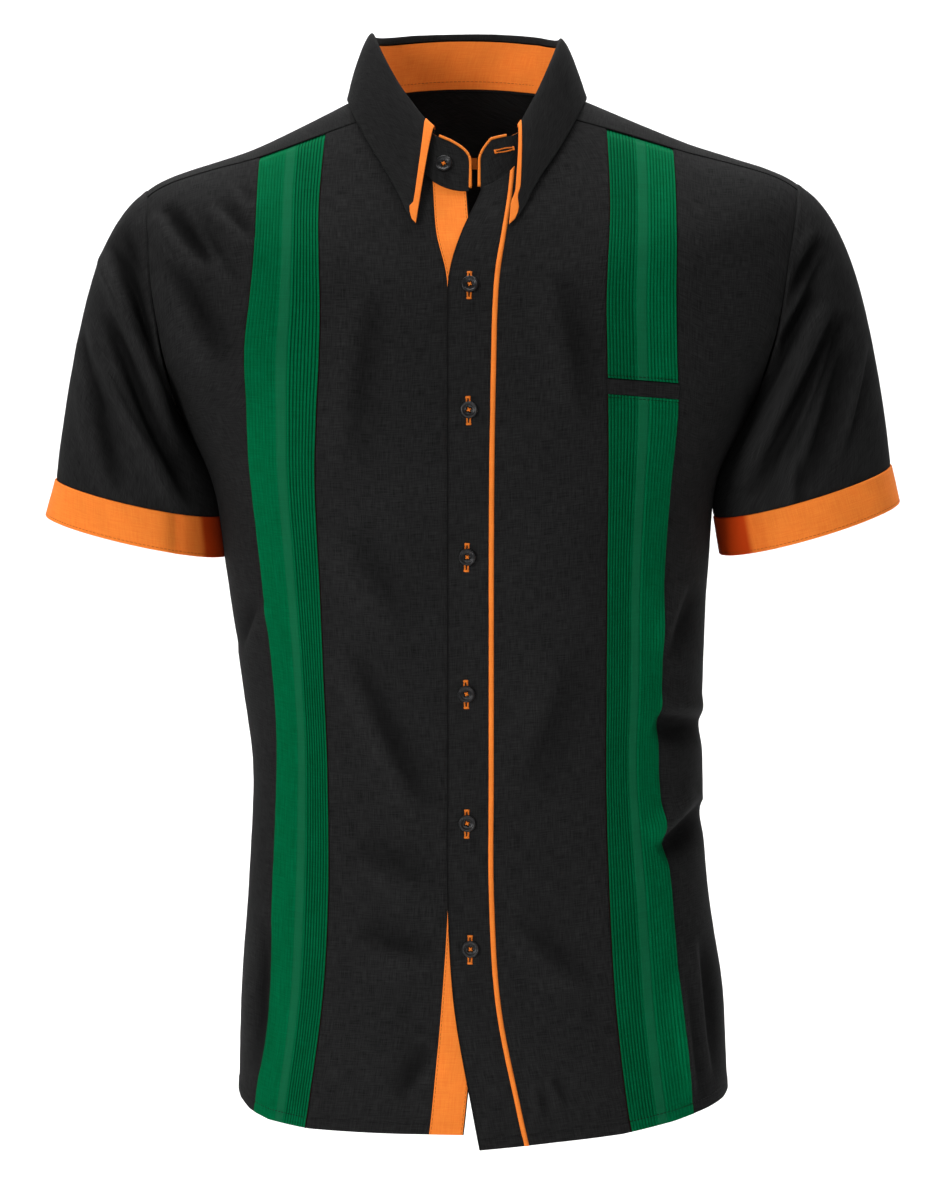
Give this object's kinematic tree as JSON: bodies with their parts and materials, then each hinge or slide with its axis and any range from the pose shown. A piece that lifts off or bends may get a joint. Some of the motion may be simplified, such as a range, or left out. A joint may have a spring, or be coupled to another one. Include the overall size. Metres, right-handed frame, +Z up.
{
  "type": "short-sleeved guayabera shirt",
  "caption": "Black short-sleeved button-front shirt in its worn, hollow form, with green pintucked strips down the front and orange cuffs, piping and collar facing.",
  "frame": {"origin": "on the middle line between the two shoulders, level with the side of the neck, where the wearer's shoulders hold the shirt up", "axes": "+Z up, the front faces -Y, +X towards the wearer's left"},
  "size_m": [0.5972, 0.2457, 0.7735],
  "materials": {
    "black_poplin": "matte plain-weave poplin with fine slubs",
    "green_tucked_cloth": "matte plain weave, pintucked lengthwise",
    "orange_poplin": "matte plain-weave poplin",
    "black_button": "polished cast polyester"
  },
  "bodies": {
    "root": {"back": "black_poplin", "yoke": "black_poplin", "front_right_centre": "black_poplin", "front_right_side": "black_poplin", "front_left_centre": "black_poplin", "front_left_side": "black_poplin", "tucked_strip_right": "green_tucked_cloth", "tucked_strip_left_upper": "green_tucked_cloth", "tucked_strip_left_lower": "green_tucked_cloth", "pocket_welt": "black_poplin", "placket": "black_poplin", "placket_piping": "orange_poplin", "under_placket": "orange_poplin", "sleeve_right": "black_poplin", "sleeve_left": "black_poplin", "cuff_right": "orange_poplin", "cuff_left": "orange_poplin", "collar_stand": "black_poplin", "stand_facing": "orange_poplin", "stand_piping_left": "orange_poplin", "stand_piping_right": "orange_poplin", "collar_leaf": "black_poplin", "collar_trim_left": "orange_poplin", "collar_trim_right": "orange_poplin", "button_1": "black_button", "button_2": "black_button", "button_3": "black_button", "button_4": "black_button", "button_5": "black_button", "button_6": "black_button", "stand_button": "black_button"}
  },
  "joints": []
}
